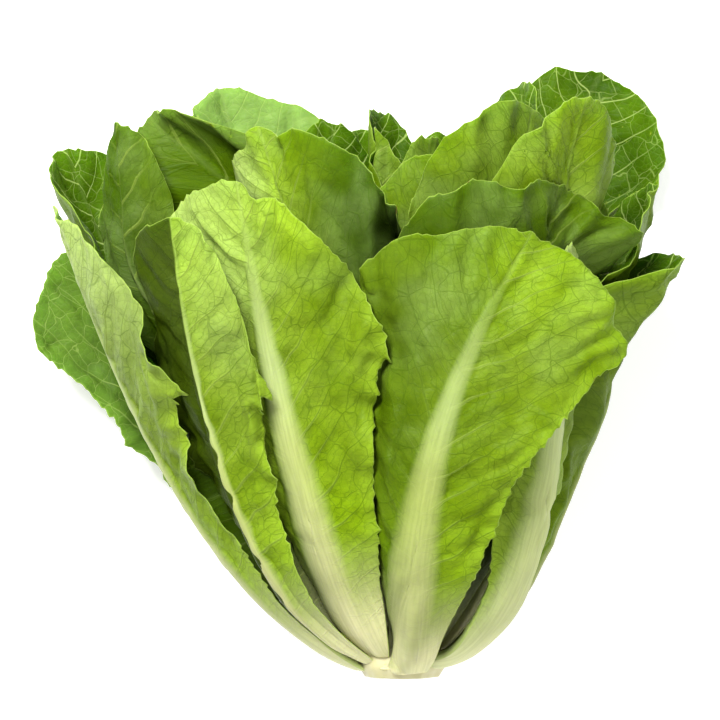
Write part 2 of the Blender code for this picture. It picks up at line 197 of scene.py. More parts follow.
def stem_radius(height):
    """The stem swells just above the cut and then narrows to the head's growing tip."""
    swelling = (STEM_WIDEST_RADIUS - STEM_CUT_RADIUS) * np.clip(height / STEM_WIDEST_HEIGHT, 0, 1)
    below = STEM_CUT_RADIUS + swelling
    along = np.clip((height - STEM_WIDEST_HEIGHT) / (STEM_HEIGHT - STEM_WIDEST_HEIGHT), 0, 1)
    return below + (STEM_TOP_RADIUS - STEM_WIDEST_RADIUS) * along**1.2


def ease(x, start, end):
    """0 before start, 1 after end, and smooth in between."""
    t = np.clip((x - start) / (end - start), 0, 1)
    return t * t * (3 - 2 * t)


# ---- One leaf's surface ----


def unit(vectors):
    return vectors / np.linalg.norm(vectors, axis=-1, keepdims=True)


class Midrib:
    """A leaf's midrib, with the frame that its blade is built in: along, side (rising turn) and out."""

    def __init__(self, leaf):
        share = np.linspace(0, 1, 4 * MIDRIB_STEPS) ** 2
        root_reach = stem_radius(leaf.root_height) + ROOT_GAP
        start, end = ROOT_SLOPE_SHARE**leaf.sweep, (1 + ROOT_SLOPE_SHARE) ** leaf.sweep
        opened = ((share + ROOT_SLOPE_SHARE) ** leaf.sweep - start) / (end - start)
        opened *= ease(share, -0.02, 0.05)
        reach = root_reach + (leaf.tip_reach - root_reach) * opened
        reach += leaf.flare * (np.clip(share / 0.4 - 1.5, 0, 1) ** 2 - 1) * ease(share, 0, 0.5)
        turn = np.radians(leaf.root_turn + (leaf.tip_turn - leaf.root_turn) * share**leaf.bow)
        height = leaf.root_height + (leaf.tip_height - leaf.root_height) * share
        points = to_space(height, turn, reach)
        steps = np.linalg.norm(np.diff(points, axis=0), axis=1)
        length = np.concatenate([[0], np.cumsum(steps)])
        self.length = length[-1]
        self.at = np.linspace(0, self.length, MIDRIB_STEPS)
        self.points = np.stack([np.interp(self.at, length, points[:, k]) for k in range(3)], axis=1)
        along = unit(np.gradient(self.points, axis=0))
        _, turn, self.reach = to_head(self.points)
        round_axis = np.stack([np.cos(turn), 0 * turn, -np.sin(turn)], axis=1)
        side = unit(round_axis - (round_axis * along).sum(1, keepdims=True) * along)
        out = np.cross(side, along)
        twist = np.radians(leaf.twist) * ease(self.at / self.length, 0.1, 0.7)[:, None]
        self.side = side * np.cos(twist) + out * np.sin(twist)
        self.out = out * np.cos(twist) - side * np.sin(twist)

    def read(self, values, where):
        return np.stack([np.interp(where, self.at, values[:, k]) for k in range(3)], axis=-1)

    def point(self, where):
        """A point on the midrib, which runs on straight beyond its tip."""
        tip = unit(self.points[-1] - self.points[-2])
        return self.read(self.points, where) + np.maximum(where - self.length, 0)[..., None] * tip


def outline(leaf, length, u, v):
    """Where each grid point lies on the flat blade: (across, along) in millimetres."""
    width = np.where(u < 0, leaf.left, leaf.right)
    swell = leaf.swell * np.where(u < 0, 1 + leaf.lopsided, 1 - leaf.lopsided)
    width = leaf.neck + (width - leaf.neck) * v**swell
    arch = np.radians(ARCH_DEGREES) * np.maximum(v, 1e-3) ** 2
    across = width * np.sin(arch * u) / np.sin(arch)
    along = length * (v - leaf.dome * (1 - np.cos(arch * u))) + leaf.tilt * across * ease(v, 0.1, 0.6)
    return across, np.clip(along, 0, 1.12 * length)


def edge_share(u, v):
    """0 inside the blade and 1 on its margin."""
    inside = np.minimum(1 - np.abs(u), 2.2 * (1 - v))
    return ease(1 - inside, 0.45, 1.0) * ease(v, 0.12, 0.45)


def bend(leaf, midrib, across, along):
    """How far sideways and inwards each point of the flat blade goes once it is folded and cupped."""
    fold = np.radians(np.where(across < 0, leaf.fold_left, leaf.fold_right))
    share = along / midrib.length
    fold = fold * ease(share, 0.05, 0.4)
    reach = np.maximum(np.interp(along, midrib.at, midrib.reach), 20.0)
    hug = 1.0 + (leaf.hug - 1.0) * ease(share, 0.1, 0.6)
    far = np.abs(across)
    steps = (np.arange(16) + 0.5) / 16
    sideways, inwards = 0 * far, 0 * far
    for step in steps:
        angle = fold * (1 - np.exp(-far * step / FOLD_ROUNDING)) + hug * far * step / reach
        sideways += np.cos(angle) * far / len(steps)
        inwards += np.sin(angle) * far / len(steps)
    return np.sign(across) * sideways, inwards, angle


def leaf_surface(leaf, seed):
    """The middle surface of one leaf before it meets its neighbours: rows by columns of points."""
    midrib = Midrib(leaf)
    random = np.random.default_rng(seed)
    v, u = np.meshgrid(np.array(ROWS), np.array(COLUMNS), indexing="ij")
    across, along = outline(leaf, midrib.length, u, v)
    margin = edge_share(u, v)
    across = across * (1 + 0.05 * margin * random.uniform(-1, 1, v.shape))
    along = along + 2.0 * margin * random.uniform(-1, 1, v.shape)
    sideways, inwards, angle = bend(leaf, midrib, across, along)
    centre = midrib.point(along)
    side = midrib.read(midrib.side, along)
    out = midrib.read(midrib.out, along)
    blade = centre + sideways[..., None] * side - inwards[..., None] * out
    face = np.cos(angle)[..., None] * out + (np.sign(across) * np.sin(angle))[..., None] * side
    round_blade = np.arctan2(across, along - 0.5 * midrib.length)
    wave = np.sin(leaf.waves * round_blade + random.uniform(0, 2 * math.pi))
    wave += 0.7 * np.sin((leaf.waves + 5) * round_blade + random.uniform(0, 2 * math.pi))
    blade += (leaf.ruffle * margin * wave)[..., None] * face
    root_reach = stem_radius(leaf.root_height) + ROOT_GAP
    round_stem = np.radians(leaf.root_turn) + leaf.neck * u / root_reach
    hugging = to_space(leaf.root_height + 0 * u, round_stem, root_reach + 0 * u)
    joined = ease(v, 0, ROOT_BLEND)[..., None]
    return hugging * (1 - joined) + blade * joined


def face_normals(grid):
    """Unit normals at the grid's points, facing away from the head's axis."""
    along = np.gradient(grid, axis=0)
    across = np.gradient(grid, axis=1)
    return unit(np.cross(across, along))


def rib_profile(leaf, grid):
    """How far the midrib stands out of the blade's outer face at each grid point."""
    v = np.array(ROWS)[:, None]
    middle = grid[:, MIDRIB_COLUMN : MIDRIB_COLUMN + 1]
    away = np.linalg.norm(grid - middle, axis=-1)
    half_width = 12.5 * (1 - v) ** 1.3 + 2.2
    height = leaf.rib * (1 - v) ** 1.1 * (0.35 + 0.65 * ease(v, 0, 0.1))
    return height * np.clip(1 - (away / half_width) ** 2, 0, 1)


def leaf_faces(leaf, grid):
    """The leaf's outer and inner faces, as grids of points."""
    normals = face_normals(grid)
    outer = grid + normals * (BLADE_THICKNESS / 2 + rib_profile(leaf, grid))[..., None]
    inner = grid - normals * (BLADE_THICKNESS / 2)
    return outer, inner


# ---- Fitting the leaves inside each other ----


class Limit:
    """How far out a leaf may reach: a map over height and turn, lowered by each leaf laid."""

    HEIGHT_STEP = 0.75
    TURN_STEPS = 240
    LOWEST, HIGHEST = -10.0, 300.0
    RISE_PER_HEIGHT = 3.0
    RISE_PER_ARC = 2.5
    SPREADS = 30
    NO_LIMIT = 400.0

    def __init__(self):
        rows = int((self.HIGHEST - self.LOWEST) / self.HEIGHT_STEP)
        self.reach = np.full((rows, self.TURN_STEPS), self.NO_LIMIT)
        self.spread = self.reach.copy()
        self.slope = 0 * self.reach

    def cell(self, height, turn):
        row = np.clip(((height - self.LOWEST) / self.HEIGHT_STEP).astype(int), 0, len(self.reach) - 1)
        return row, np.floor(turn / (2 * math.pi) * self.TURN_STEPS).astype(int) % self.TURN_STEPS

    def lay(self, points):
        """Lowers the map to a laid leaf's inner face, and lets it rise steadily beyond the margins."""
        height, turn, reach = to_head(points)
        np.minimum.at(self.reach, self.cell(height, turn), reach)
        beyond = self.reach.copy()
        rise = self.RISE_PER_HEIGHT * self.HEIGHT_STEP
        widen = 1 + self.RISE_PER_ARC * 2 * math.pi / self.TURN_STEPS
        for _ in range(self.SPREADS):
            beyond[1:] = np.minimum(beyond[1:], beyond[:-1] + rise)
            beyond[:-1] = np.minimum(beyond[:-1], beyond[1:] + rise)
            beyond = np.minimum(beyond, widen * np.minimum(np.roll(beyond, 1, 1), np.roll(beyond, -1, 1)))
        self.spread = np.where(self.reach < self.NO_LIMIT, self.reach, beyond)
        near = np.minimum(np.roll(self.spread, 3, 0), np.roll(self.spread, -3, 0))
        level = np.minimum(self.spread, 2 * near)
        rise = (np.roll(level, -3, 0) - np.roll(level, 3, 0)) / (6 * self.HEIGHT_STEP)
        height = self.LOWEST + self.HEIGHT_STEP * np.arange(len(rise))[:, None]
        self.slope = np.clip(rise, 0, 3) * (1 - ease(height, 50, 110))

    def excess(self, points):
        """How far each point lies past the leaves already laid, or the table, and their slope there."""
        height, turn, reach = to_head(points)
        cell = self.cell(height, turn)
        slope = self.slope[cell]
        past_leaves = reach - self.spread[cell] + CLEARANCE * np.hypot(1, slope)
        down = np.maximum(-np.cos(turn), 1e-6)
        past_table = reach - AXIS_ABOVE_TABLE / down
        return np.maximum(past_leaves, past_table), np.where(past_table > past_leaves, 0, slope)

    def lowest_root(self, leaf):
        """The lowest height, from the one asked for, where the leaf can leave the stem inside the rest."""
        heights = np.arange(leaf.root_height, STEM_HEIGHT - 8, 0.5)[:, None]
        ahead = np.linspace(0, 4, 5)
        half_turn = 0.6 * leaf.neck / stem_radius(heights)
        turn = np.radians(leaf.root_turn) + half_turn * np.linspace(-1, 1, 9)
        above = [self.spread[self.cell(heights + up + 0 * turn, turn)] for up in ahead]
        free = np.min(above, axis=(0, 2))
        fits = free > stem_radius(heights[:, 0]) + ROOT_GAP + ROOT_ROOM
        return float(heights[np.argmax(fits), 0]) if fits.any() else leaf.root_height


def cell_weights(per_side):
    """Weights of a cell's corners, for points spread over the two triangles that the cell is cut into."""
    share = np.linspace(0, 1, per_side)
    r, c = np.meshgrid(share, share, indexing="ij")
    first, low, high = np.minimum(1 - r, 1 - c), np.maximum(c - r, 0), np.maximum(r - c, 0)
    return [first, low, np.minimum(r, c), high]


def corners(grid):
    """Each cell's four corners, in the order of cell_weights."""
    return [grid[:-1, :-1], grid[:-1, 1:], grid[1:, 1:], grid[1:, :-1]]


def sampled(grid, per_side):
    """Points spread over every cell: an array of cells by samples by coordinates."""
    weighted = zip(corners(grid), cell_weights(per_side))
    return sum(corner[:, :, None, None, :] * weight[..., None] for corner, weight in weighted)


def moved_in(grid, inwards, upwards):
    height, turn, reach = to_head(grid)
    return to_space(height + upwards, turn, np.maximum(reach - inwards, 1.0))


def drawn_in(leaf, grid, limit):
    """The leaf moved towards the axis wherever it would reach into the leaves round it or the table."""
    for _ in range(4):
        excess, slope = limit.excess(leaf_faces(leaf, grid)[0])
        pull = np.maximum(excess, 0) / (1 + slope**2)
        grid = moved_in(grid, pull, pull * slope)
    weights = cell_weights(12)
    spread = sum(weight**2 for weight in weights)
    for _ in range(14):
        excess, slope = limit.excess(sampled(leaf_faces(leaf, grid)[0], 12))
        if excess.max() < 0.02:
            break
        pull = np.maximum(excess, 0) / (1 + slope**2)
        inwards, upwards = np.zeros(grid.shape[:2]), np.zeros(grid.shape[:2])
        for moved, amount in ((inwards, pull), (upwards, pull * slope)):
            for corner, weight in zip(corners(moved), weights):
                np.maximum(corner, (amount * weight / spread).max(axis=(2, 3)), out=corner)
        grid = moved_in(grid, inwards, upwards)
    return grid


def laid_out():
    """(leaf, grid) for every leaf, fitted inside each other."""
    limit = Limit()
    done = []
    for number, leaf in enumerate(LEAVES):
        leaf = replace(leaf, root_height=limit.lowest_root(leaf))
        grid = drawn_in(leaf, leaf_surface(leaf, number), limit)
        done.append((leaf, grid))
        limit.lay(np.stack([sampled(face, 36) for face in leaf_faces(leaf, grid)]))
    return done


# ---- Fine surfaces ----

# Cells that each of the solid's cells is drawn with, along and across, for leaves in plain view and others.
FINE_CELLS = (16, 9)
PLAIN_CELLS = (8, 5)
IN_PLAIN_VIEW = (
    "leaf_left",
    "leaf_left_behind",
    "leaf_front_folded",
    "leaf_front_left",
    "leaf_front_right",
    "leaf_second_middle",
    "leaf_second_right",
)

# A midrib's half width at the root and the tip, against its height, and how fast it narrows between them.
RIB_ROOT_WIDTH = 3.3
RIB_TIP_WIDTH = 0.15
RIB_TAPER = 1.15

# How broad it looks against that, on most leaves and on those where it stays broad up the blade.
NARROW_RIB = 0.5
BROAD_RIBS = {
    "leaf_left": 1.0,
    "leaf_front_left": 1.4,
    "leaf_front_right": 1.35,
    "leaf_low_right": 2.0,
    "leaf_right": 1.2,
}

# The blade's thickness at its margin and within it, and how far in from the margin it is full.
EDGE_THICKNESS = 0.35
BLADE_MIDDLE_THICKNESS = 0.8
THICKENING = 14.0

# Puckers: large ones in step with the side veins, and small ones between them.
PUCKER = 1.6
PUCKER_SIZE = 15.0
PUCKERS_TO_A_VEIN = 2.2
SMALL_PUCKER_SHARE = 0.4
SMALL_PUCKER_SIZE = 7.0

# Side veins: their distance, their ridges' height and breadth, and how far the blade sinks between them.
VEIN_SPACING = 15.0
VEIN_RIDGE = 0.5
VEIN_RIDGE_WIDTH = 1.6
BETWEEN_VEINS = 0.35

# Ruffles of the margin: how far in they reach, their height, and each of their waves' height and length.
EDGE_BAND = 16.0
FINE_RUFFLE = 1.3
USUAL_RUFFLE = 3.5
WAVES = ((1.0, 4.1), (0.8, 2.7), (0.5, 1.7))
WAVE_GROUP_LENGTH = 11.0

# Teeth of the margin, how far in they reach, and the share of its length that a tooth rises over.
TEETH = 400
TOOTH_LENGTH = 5.5
TOOTH_HEIGHT = 2.8
TOOTH_BAND = 1.6
TOOTH_RISE = 0.75
TOP_TOOTH_SHARE = 0.6

# Broad lobes of the margin, and how far in they reach at the sides and the top.
LOBE_LENGTH = 13.0
LOBE_HEIGHT = 2.4
SIDE_LOBE_BAND = 6.0
TOP_LOBE_BAND = 8.0

# Notches in a leaf's top margin: where across the blade, how deep and how wide. Below zero it is a spike.
NOTCH_BAND = 10.0
NOTCHES = {
    "leaf_front_left": ((-0.14, 3.2, 0.17), (0.09, 2.5, 0.05), (0.02, -1.0, 0.03)),
    "leaf_front_right": ((0.0, -2.5, 0.025), (-0.35, 2.0, 0.3)),
    "leaf_second_right": ((-0.28, 5.0, 0.10), (0.24, 3.5, 0.06), (0.03, -2.5, 0.03), (0.62, 2.0, 0.1)),
    "leaf_second_middle": ((-0.22, 2.5, 0.08), (0.12, 3.5, 0.09), (-0.5, -1.5, 0.1)),
    "leaf_third_right": ((0.02, -2.0, 0.03), (0.35, 1.5, 0.08), (-0.4, 1.5, 0.08)),
    "leaf_second_dark": ((0.4, 2.0, 0.1), (-0.3, 1.5, 0.1)),
    "leaf_tall_left": ((-0.3, 1.5, 0.15), (0.25, 1.5, 0.12)),
}


def spline(knots, values, at):
    """A smooth curve through values at knots, along the first axis, read at the places given."""
    knots = np.asarray(knots)
    shape = (-1,) + (1,) * (values.ndim - 1)
    gaps = np.diff(knots).reshape(shape)
    slopes = np.diff(values, axis=0) / gaps
    inner = (slopes[:-1] * gaps[1:] + slopes[1:] * gaps[:-1]) / (gaps[:-1] + gaps[1:])
    tangents = np.concatenate([slopes[:1], inner, slopes[-1:]])
    cell = np.clip(np.searchsorted(knots, at, side="right") - 1, 0, len(knots) - 2)
    t = ((at - knots[cell]) / np.diff(knots)[cell]).reshape(shape)
    gap = gaps[cell]
    start = values[cell] * (1 + 2 * t) * (1 - t) ** 2 + tangents[cell] * gap * t * (1 - t) ** 2
    end = values[cell + 1] * t**2 * (3 - 2 * t) - tangents[cell + 1] * gap * t**2 * (1 - t)
    return start + end


def between(knots, cells):
    """Places that cut each gap between the knots into that many cells."""
    gaps = len(knots) - 1
    return np.interp(np.linspace(0, gaps, gaps * cells + 1), np.arange(gaps + 1), knots)


def noise(x, y, random):
    """Smooth random heights from -1 to 1, about one bump to a unit of x and y."""
    table = random.uniform(-1, 1, (64, 64))
    i, j = np.floor(x).astype(int), np.floor(y).astype(int)
    s, t = x - i, y - j
    s, t = s * s * (3 - 2 * s), t * t * (3 - 2 * t)
    i, j, k, m = i % 64, j % 64, (i + 1) % 64, (j + 1) % 64
    low = table[i, j] * (1 - s) + table[k, j] * s
    high = table[i, m] * (1 - s) + table[k, m] * s
    return low * (1 - t) + high * t


def waves(place, phases):
    """Waves of several lengths along a margin, in groups."""
    pairs = zip(WAVES, phases)
    together = sum(height * np.sin(place / length + phase) for (height, length), phase in pairs)
    return together * (0.6 + 0.4 * np.sin(place / WAVE_GROUP_LENGTH + phases[0]))


def toothed(place, heights):
    """Small hooked teeth along a margin, each with its own height."""
    number = np.floor(place / TOOTH_LENGTH).astype(int)
    within = place / TOOTH_LENGTH - number
    tooth = np.where(within < TOOTH_RISE, within / TOOTH_RISE, (1 - within) / (1 - TOOTH_RISE))
    return heights[number % len(heights)] * tooth**1.4


def run_length(points):
    """The distance along each line of points, down the first axis."""
    steps = np.linalg.norm(np.diff(points, axis=0), axis=-1)
    return np.concatenate([0 * steps[:1], np.cumsum(steps, axis=0)])


class Blade:
    """A leaf's fine middle surface, with what the blade is like at each of its points."""

    def __init__(self, leaf, grid, seed):
        random = np.random.default_rng(1000 + seed)
        cells = FINE_CELLS if leaf.name in IN_PLAIN_VIEW else PLAIN_CELLS
        rows, columns = between(ROWS, cells[0]), between(COLUMNS, cells[1])
        middle = len(columns) // 2
        fine = spline(ROWS, grid, rows)
        self.points = spline(COLUMNS, fine.transpose(1, 0, 2), columns).transpose(1, 0, 2)
        self.v, self.u = np.meshgrid(rows, columns, indexing="ij")
        length = Midrib(leaf).length
        self.across, self.along = outline(leaf, length, self.u, self.v)
        self.share = self.along / length
        self.away = np.linalg.norm(self.points - self.points[:, middle : middle + 1], axis=-1)
        width = RIB_ROOT_WIDTH * (1 - self.v) ** RIB_TAPER + RIB_TIP_WIDTH
        width = leaf.rib * BROAD_RIBS.get(leaf.name, NARROW_RIB) * width
        self.rib = np.clip(1 - (self.away / width) ** 2, 0, 1)
        self.measure_margin()
        self.place_veins(random)
        self.shape(leaf, random)

    def measure_margin(self):
        """How far each point is from the side margin and the top one, and where along the margin it is."""
        lengthwise = run_length(self.points)
        crosswise = run_length(self.points.transpose(1, 0, 2)).T
        self.to_side = np.where(self.u < 0, crosswise, crosswise[:, -1:] - crosswise)
        self.to_top = lengthwise[-1:] - lengthwise
        self.to_margin = np.minimum(self.to_side, self.to_top)
        left, right = lengthwise[-1, 0], lengthwise[-1, -1]
        self.by_side = np.where(self.u < 0, lengthwise, left + crosswise[-1, -1] + right - lengthwise)
        self.by_top = left + crosswise[-1:] + 0 * lengthwise

    def place_veins(self, random):
        """Numbers that rise by one from each side vein to the next: they leave the rib and sweep up."""
        far = np.abs(self.across)
        climb = self.along - far * (0.25 + 0.9 * self.share) - 0.003 * far**2
        climb += 5.0 * noise(self.across / 26, self.along / 26, random)
        climb += 1.2 * noise(self.across / 8, self.along / 8, random)
        self.veins = climb / VEIN_SPACING + 0.5 * (self.across < 0) + random.uniform(0, 1)

    def shape(self, leaf, random):
        """Puckers and ruffles raise the blade from itself; teeth, lobes and notches move its margin."""
        out = face_normals(self.points)
        beyond_side = unit(np.gradient(self.points, axis=1)) * np.sign(self.u)[..., None]
        beyond_top = unit(np.gradient(self.points, axis=0))
        raised = self.puckered(random) + self.ruffled(leaf, random)
        on_side, on_top = self.margin_moves(leaf, random)
        self.points = self.points + raised[..., None] * out
        self.points = self.points + on_side[..., None] * beyond_side + on_top[..., None] * beyond_top

    def puckered(self, random):
        open_blade = ease(self.to_margin, 1.0, 9.0) * ease(self.v, 0.12, 0.4) * (1 - self.rib) ** 2
        bumps = noise(self.across / PUCKER_SIZE, PUCKERS_TO_A_VEIN * self.veins, random)
        small = noise(self.across / SMALL_PUCKER_SIZE, self.along / SMALL_PUCKER_SIZE, random)
        bumps += SMALL_PUCKER_SHARE * small
        to_vein = np.abs(self.veins - np.round(self.veins)) * VEIN_SPACING
        ridges = np.exp(-((to_vein / VEIN_RIDGE_WIDTH) ** 2)) - BETWEEN_VEINS
        ridges = VEIN_RIDGE * ridges * (1 - 0.8 * ease(self.away, 12, 45))
        return open_blade * (PUCKER * bumps + ridges)

    def ruffled(self, leaf, random):
        blade_zone = ease(self.v, 0.16, 0.45)
        near_side = np.exp(-self.to_side / EDGE_BAND) * blade_zone
        near_top = np.exp(-self.to_top / EDGE_BAND) * blade_zone
        side = near_side * waves(self.by_side, random.uniform(0, 9, 3))
        top = near_top * waves(self.by_top, random.uniform(0, 9, 3))
        return FINE_RUFFLE * np.where(near_top > near_side, top, side) * leaf.ruffle / USUAL_RUFFLE

    def margin_moves(self, leaf, random):
        """How far the teeth, lobes and notches move each point beyond the side margin and the top one."""
        teeth = random.uniform(0.15, 1.0, TEETH) ** 1.6
        lobed = noise(self.by_side / LOBE_LENGTH, 0.5 + 0 * self.v, random)
        on_side = TOOTH_HEIGHT * toothed(self.by_side, teeth) * np.exp(-self.to_side / TOOTH_BAND)
        on_side += LOBE_HEIGHT * lobed * np.exp(-self.to_side / SIDE_LOBE_BAND)
        on_side *= ease(self.v, 0.1, 0.3) * (1 - 0.5 * ease(self.v, 0.7, 1))
        on_top = toothed(self.by_top, teeth) * np.exp(-self.to_top / TOOTH_BAND)
        on_top *= TOP_TOOTH_SHARE * TOOTH_HEIGHT
        scalloped = noise(self.by_top / LOBE_LENGTH, 0.5 + 0 * self.v, random)
        scalloped *= np.exp(-self.to_top / TOP_LOBE_BAND)
        on_top += LOBE_HEIGHT * min(leaf.ruffle - 3.0, 1.5) * scalloped
        for place, depth, width in NOTCHES.get(leaf.name, ()):
            on_top -= depth * np.exp(-(((self.u - place) / width) ** 2) - self.to_top / NOTCH_BAND)
        return on_side, on_top

    def faces(self, leaf):
        """The outer and inner faces: thin at the margin, thick along the midrib."""
        out = face_normals(self.points)
        more = BLADE_MIDDLE_THICKNESS - EDGE_THICKNESS
        half = (EDGE_THICKNESS + more * ease(self.to_margin, 0, THICKENING)) / 2
        height = leaf.rib * (1 - self.v) ** 1.1 * (0.35 + 0.65 * ease(self.v, 0, 0.1))
        return self.points + out * (half + height * self.rib)[..., None], self.points - out * half[..., None]


# Each face's place on a leaf's UV map: the corner where it starts, and its size.
OUTER_UV = np.array([0.01, 0.01])
INNER_UV = np.array([0.51, 0.01])
FACE_UV_SIZE = np.array([0.48, 0.96])
RIM_UV_LOW, RIM_UV_HIGH = 0.98, 0.995

# The distance to the margin is stored up to this.
FARTHEST_MARGIN = 20.0


def sheet_quads(rows, columns):
    """The outer face's quads and the rim's, for a sheet whose inner face's points follow the outer's."""
    count = rows * columns
    index = np.arange(count).reshape(rows, columns)
    a, b, c, d = index[:-1, :-1], index[:-1, 1:], index[1:, 1:], index[1:, :-1]
    outer = np.stack([a, b, c, d], axis=-1).reshape(-1, 4)
    rim = np.concatenate([index[0], index[1:, -1], index[-1, -2::-1], index[-2:0:-1, 0]])
    after = np.roll(rim, -1)
    return outer, np.stack([after, rim, count + rim, count + after], axis=-1)


def sheet_uvs(blade, outer, rim_quads):
    """Every face corner's place on the UV map: two faces side by side and the rim in a strip above."""
    flat = np.stack([(blade.u + 1) / 2, blade.v], axis=-1).reshape(-1, 2) * FACE_UV_SIZE
    ends = np.linspace(0.01, 0.99, rim_quads + 1)
    low, high = RIM_UV_LOW + 0 * ends[1:], RIM_UV_HIGH + 0 * ends[1:]
    strip = [(ends[1:], low), (ends[:-1], low), (ends[:-1], high), (ends[1:], high)]
    strip = np.stack([np.stack(corner, axis=-1) for corner in strip], axis=1)
    return np.concatenate([(flat + OUTER_UV)[outer], (flat + INNER_UV)[outer[:, ::-1]], strip])


def vector_attribute(mesh, name, values):
    made = mesh.attributes.new(name, "FLOAT_VECTOR", "POINT")
    made.data.foreach_set("vector", values.astype(np.float32).ravel())


def sheet_mesh(name, blade, faces, shift, tone, shade, seed):
    """A closed sheet between two grids of points, with the blade's measures for its material."""
    rows, columns = blade.u.shape
    count = rows * columns
    outer, rim = sheet_quads(rows, columns)
    quads = np.concatenate([outer, count + outer[:, ::-1], rim])
    points = np.stack([face.reshape(-1, 3) for face in faces]) - shift
    points[..., 2] += np.maximum(0, -points[..., 2].min(axis=0))
    points = points.reshape(-1, 3)
    mesh = bpy.data.meshes.new(name)
    mesh.vertices.add(len(points))
    mesh.vertices.foreach_set("co", (points * MM).astype(np.float32).ravel())
    mesh.loops.add(quads.size)
    mesh.loops.foreach_set("vertex_index", quads.astype(np.int32).ravel())
    mesh.polygons.add(len(quads))
    mesh.polygons.foreach_set("loop_start", np.arange(0, quads.size, 4, dtype=np.int32))
    mesh.polygons.foreach_set("use_smooth", np.ones(len(quads), dtype=bool))
    mesh.update(calc_edges=True)

    def on_both_faces(*measures):
        values = np.stack([np.broadcast_to(measure, blade.u.shape) for measure in measures], axis=-1)
        return np.concatenate([values.reshape(-1, 3)] * 2)

    to_margin = np.minimum(blade.to_margin, FARTHEST_MARGIN)
    # The look: which face, the tone, and the painted shade on the left half.
    look = on_both_faces(0.0, tone, shade * (blade.u < 0))
    look[count:, 0] = 1.0
    vector_attribute(mesh, "blade_place", on_both_faces(blade.across, blade.along, 37.0 * seed))
    vector_attribute(mesh, "blade_veins", on_both_faces(blade.veins, blade.away, 0.0))
    vector_attribute(mesh, "blade_parts", on_both_faces(blade.rib, to_margin, blade.share))
    vector_attribute(mesh, "blade_look", look)
    layer = mesh.uv_layers.new(name="OFBake", do_init=False)
    layer.uv.foreach_set("vector", sheet_uvs(blade, outer, len(rim)).astype(np.float32).ravel())
    return mesh


# ---- Materials ----

RELIEF_DEPTH = 0.0004


class Shader:
    """A material being built, with short ways to add its nodes."""

    def __init__(self, name):
        self.material = bpy.data.materials.new(name)
        self.material.use_nodes = True
        self.tree = self.material.node_tree
        self.principled = self.tree.nodes["Principled BSDF"]

    def feed(self, socket, value):
        if isinstance(value, bpy.types.NodeSocket):
            self.tree.links.new(value, socket)
        elif isinstance(value, tuple):
            socket.default_value = value if len(value) == len(socket.default_value) else (*value, 1.0)
        else:
            socket.default_value = value

    def node(self, kind, inputs, **settings):
        """A new node, with its inputs in order or by name."""
        made = self.tree.nodes.new(kind)
        for name, value in settings.items():
            setattr(made, name, value)
        for key, value in inputs.items() if isinstance(inputs, dict) else enumerate(inputs):
            self.feed(made.inputs[key], value)
        return made

    def surface(self, inputs):
        for name, value in inputs.items():
            self.feed(self.principled.inputs[name], value)

    def relief(self, height, strength):
        inputs = {"Strength": strength, "Distance": RELIEF_DEPTH, "Height": height}
        self.surface({"Normal": self.node("ShaderNodeBump", inputs).outputs[0]})

    def attribute(self, name):
        made = self.node("ShaderNodeAttribute", (), attribute_name=name, attribute_type="GEOMETRY")
        return self.node("ShaderNodeSeparateXYZ", (made.outputs["Vector"],)).outputs

    def vector(self, x, y, z):
        return self.node("ShaderNodeCombineXYZ", (x, y, z)).outputs[0]

    def math(self, operation, *values, clamp=False):
        return self.node("ShaderNodeMath", values, operation=operation, use_clamp=clamp).outputs[0]

    def times(self, first, *others):
        for other in others:
            first = self.math("MULTIPLY", first, other)
        return first

    def plus(self, first, *others):
        for other in others:
            first = self.math("ADD", first, other)
        return first

    def most(self, first, *others):
        for other in others:
            first = self.math("MAXIMUM", first, other)
        return first

    def rest(self, share, clamp=False):
        """What a share leaves of one."""
        return self.math("SUBTRACT", 1.0, share, clamp=clamp)

    def to_whole(self, value):
        """The distance to the nearest whole number."""
        return self.math("ABSOLUTE", self.math("SUBTRACT", value, self.math("ROUND", value)))

    def ramp(self, value, start, end, low=0.0, high=1.0):
        """low before start, high after end, and smooth in between."""
        inputs = (value, start, end, low, high)
        return self.node("ShaderNodeMapRange", inputs, interpolation_type="SMOOTHSTEP").outputs[0]

    def noise(self, place, scale, detail=2.0):
        inputs = {"Vector": place, "Scale": scale, "Detail": detail}
        return self.node("ShaderNodeTexNoise", inputs).outputs["Fac"]

    def cells(self, place, scale, dimensions="3D"):
        """The distance to the nearest edge between random cells, in cells."""
        settings = {"feature": "DISTANCE_TO_EDGE", "voronoi_dimensions": dimensions}
        inputs = {"Vector": place, "Scale": scale}
        return self.node("ShaderNodeTexVoronoi", inputs, **settings).outputs["Distance"]

    def mix(self, share, first, second, blend="MIX"):
        inputs = {"Factor": share, 6: first, 7: second}
        return self.node("ShaderNodeMix", inputs, data_type="RGBA", blend_type=blend).outputs[2]

    def scaled(self, colour, factor):
        return self.mix(1.0, colour, self.vector(factor, factor, factor), "MULTIPLY")


# Linear colours.
# Painted light: the paler underside given to a blade, or half of one, that stands in full light.
UNDERSIDE_PAINTED_LIGHT = (0.265, 0.34, 0.11)
UNDERSIDE_LIGHT = (0.175, 0.272, 0.012)
UNDERSIDE_DEEP = (0.12, 0.20, 0.002)
UPPERSIDE_BRIGHT = (0.165, 0.28, 0.055)
UPPERSIDE_LIGHT = (0.058, 0.122, 0.002)
UPPERSIDE_DEEP = (0.030, 0.072, 0.001)
# The deep green of inner leaves, which also serves as painted shade on leaves and halves that lie in shadow.
INNER_AND_SHADED_UNDERSIDE = (0.030, 0.063, 0.0005)
LOW_YELLOW = (0.145, 0.24, 0.002)
